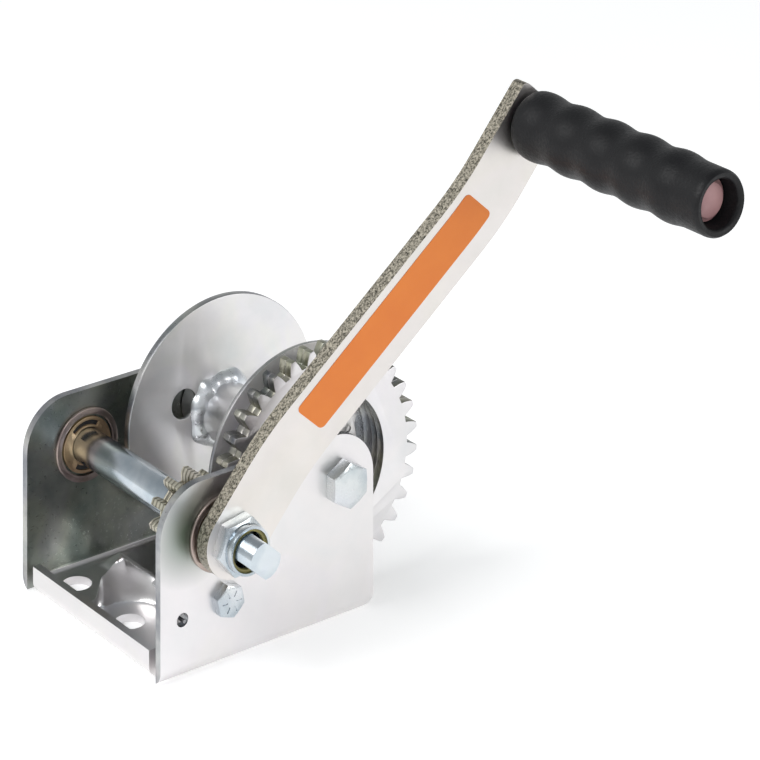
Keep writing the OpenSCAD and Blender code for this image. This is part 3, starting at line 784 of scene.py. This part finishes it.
def weld_ring(bm, centre, x_face, direction, radius, size, start, end, seed):
    """Lumpy fillet bead around the X axis, between two angles in degrees."""
    turn = math.radians(end - start)
    closed = end - start >= 360
    steps = max(12, int(turn * radius / BEAD_STEP))
    rows = []
    for i in range(steps if closed else steps + 1):
        a = math.radians(start) + turn * i / steps
        lump = noise.noise(Vector((math.cos(a) * 2.6, math.sin(a) * 2.6, seed)))
        scale = size * (0.9 + 0.45 * lump)
        taper = 1.0 if closed else min(1.0, 0.3 + 3 * min(i, steps - i) / steps)
        row = []
        for x, r in BEAD_SECTION:
            out = radius + scale * taper * r
            row.append(Vector((x_face + direction * scale * taper * x,
                               centre.y + out * math.cos(a), centre.z + out * math.sin(a))))
        rows.append(row)
    grid_solid(bm, rows, closed_loop=closed)


def build_core_welds():
    """Beads all round the drum's core at both flanges."""
    core_low, core_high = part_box("drum_core")
    radius = (core_high.z - core_low.z) / 2
    far_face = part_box("drum_flange_far")[1].x
    near_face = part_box("drum_flange_near")[0].x
    bm = bmesh.new()
    weld_ring(bm, DRUM, far_face, 1, radius, 4.2 * MM, 0, 360, 1.7)
    weld_ring(bm, DRUM, near_face, -1, radius, 3.4 * MM, 0, 360, 4.2)
    piece = from_bmesh("core_weld_beads", bm, 80)
    finish_piece(piece, "drum", [WELD], "core_welds")


def build_gear_welds():
    """Three short beads that start at the near flange's gear side and run through the flange, so
    that they show on its drum side. The CAD has them in the gear's opening."""
    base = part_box("drum_flange_near")[1].x
    radius = 28 * MM
    size = 3.4 * MM
    bead_count = 3
    first_angle = 5
    half_angle = 16
    first_seed = 7.5
    bm = bmesh.new()
    for i in range(bead_count):
        middle = first_angle + 360 // bead_count * i
        weld_ring(bm, DRUM, base, 1, radius, -size, middle - half_angle, middle + half_angle,
                  first_seed + i)
    piece = from_bmesh("gear_weld_beads", bm, 80)
    finish_piece(piece, "drum", [WELD], "gear_welds")


# ---------------------------------------------------------------- build everything
build_frame()
build_arm()
build_label()
build_grip()
build_pinion()
build_bushing("bushing_far")
build_bushing("bushing_near")
build_core_welds()
build_gear_welds()

# CAD nodes whose shape stays: the width of their eased edges in mm, and their materials.
REFINED = {
    "bearing_ring_far": (0.4, [RING_ZINC]),
    "bearing_ring_near": (0.4, [RING_ZINC]),
    "drive_shaft": (0.6, [SHAFT_STEEL]),
    "shaft_washer": (0.3, [SHEET_ZINC]),
    "shaft_clip": (0.15, [WIRE_STEEL]),
    "handle_nut": (0.3, [BOLT_ZINC]),
    "handle_nut_ring": (0.2, [OLIVE_NYLON]),
    "grip_axle": (0.5, [PINK_WASHER]),
    "grip_end_washer": (0.3, [PINK_WASHER]),
    "drum_core": (0.3, [FLANGE_ZINC]),
    "drum_bushings": (0.3, [WHITE_NYLON]),
    "drum_flange_far": (0.3, [FLANGE_ZINC, EDGE_ZINC]),
    "drum_flange_near": (0.3, [FLANGE_ZINC, EDGE_ZINC]),
    "gear_spacer": (0.2, [EDGE_ZINC]),
    "gear_plate_inner": (0.22, [GEAR_ZINC, FLANK_ZINC]),
    "gear_plate_outer": (0.22, [GEAR_ZINC, FLANK_ZINC]),
    "drum_bolt": (0.25, [BOLT_ZINC]),
    "drum_bolt_washer": (0.3, [SHEET_ZINC]),
    "drum_bolt_nut": (0.3, [BOLT_ZINC]),
    "pawl": (0.4, [SHEET_ZINC, EDGE_ZINC]),
    "pawl_washer": (0.25, [SHEET_ZINC]),
    "pawl_bolt": (0.12, [BOLT_ZINC]),
    "pawl_nut": (0.25, [BOLT_ZINC]),
    "pawl_spring": (0.2, [WIRE_STEEL]),
}
for node, (edge_width, materials) in REFINED.items():
    refine(node, edge_width * MM, materials)


# ---------------------------------------------------------------- studio
def build_floor():
    """Plain white floor, bright enough to run into the background."""
    size = 6.0
    bm = bmesh.new()
    corners = [bm.verts.new((x * size, y * size, FRAME_LOW.z)) for x, y in
               ((-1, -1), (1, -1), (1, 1), (-1, 1))]
    bm.faces.new(corners)
    floor = from_bmesh("studio_floor", bm)
    material, tree, shader, place = node_material("floor_paper")
    cloud = noise_node(tree, place, 3, 2)
    tree.links.new(ramp(tree, cloud, [(0.3, (0.86, 0.86, 0.86)), (0.7, (0.90, 0.90, 0.90))]),
                   shader.inputs["Base Color"])
    shader.inputs["Roughness"].default_value = 0.9
    shader.inputs["Emission Color"].default_value = (1, 1, 1, 1)
    shader.inputs["Emission Strength"].default_value = 0.36
    floor.data.materials.append(material)


def area_light(name, location, target, size, energy):
    """Square soft light that faces the target."""
    data = bpy.data.lights.new(name, "AREA")
    data.shape = "SQUARE"
    data.size = size
    data.energy = energy
    light = bpy.data.objects.new(name, data)
    bpy.context.scene.collection.objects.link(light)
    light.location = location
    direction = Vector(target) - Vector(location)
    light.rotation_euler = direction.to_track_quat("-Z", "Y").to_euler()


def build_world():
    """Soft studio surround: bright round the horizon, greyer overhead."""
    world = bpy.data.worlds.new("studio")
    bpy.context.scene.world = world
    world.use_nodes = True
    tree = world.node_tree
    background = tree.nodes["Background"]
    place = tree.nodes.new("ShaderNodeTexCoord")
    split = tree.nodes.new("ShaderNodeSeparateXYZ")
    tree.links.new(place.outputs["Generated"], split.inputs[0])
    height = remap(tree, split.outputs["Z"], 0.0, 1.0, -0.1, 1.0)
    colour = ramp(tree, height, [(0.0, (1.0, 1.0, 1.0)), (0.3, (0.66, 0.67, 0.68)),
                                 (1.0, (0.30, 0.32, 0.33))])
    tree.links.new(colour, background.inputs["Color"])
    background.inputs["Strength"].default_value = 0.9


def build_camera():
    """Level view camera with a falling front, as in a catalogue picture: verticals stay
    vertical. The shift is dropped when the camera is moved away from this standpoint."""
    yaw = math.radians(52.433)
    station = Vector((1.030198, -0.708499, 0.613488))
    falling_front = -1.93538
    data = bpy.data.cameras.new("camera")
    data.sensor_width = 36
    data.lens = 162.771
    data.clip_start, data.clip_end = 0.05, 50
    camera = bpy.data.objects.new("camera", data)
    bpy.context.scene.collection.objects.link(camera)
    camera.location = station
    camera.rotation_euler = (math.radians(90), 0, yaw)
    bpy.context.scene.camera = camera
    driver = data.driver_add("shift_y").driver
    driver.type = "SCRIPTED"
    variable = driver.variables.new()
    variable.name = "east"
    variable.targets[0].id = camera
    variable.targets[0].data_path = "location[0]"
    driver.expression = f"{falling_front} if abs(east - {station.x}) < 0.0001 else 0"


bpy.context.scene.view_settings.view_transform = "Standard"
build_floor()
build_world()
OBJECT_MIDDLE = (0, 0, 0.08)
area_light("key", (-0.2, -1.25, 1.5), OBJECT_MIDDLE, size=1.2, energy=22)
area_light("side", (1.6, 0.85, 0.9), OBJECT_MIDDLE, size=1.0, energy=10)
build_camera()
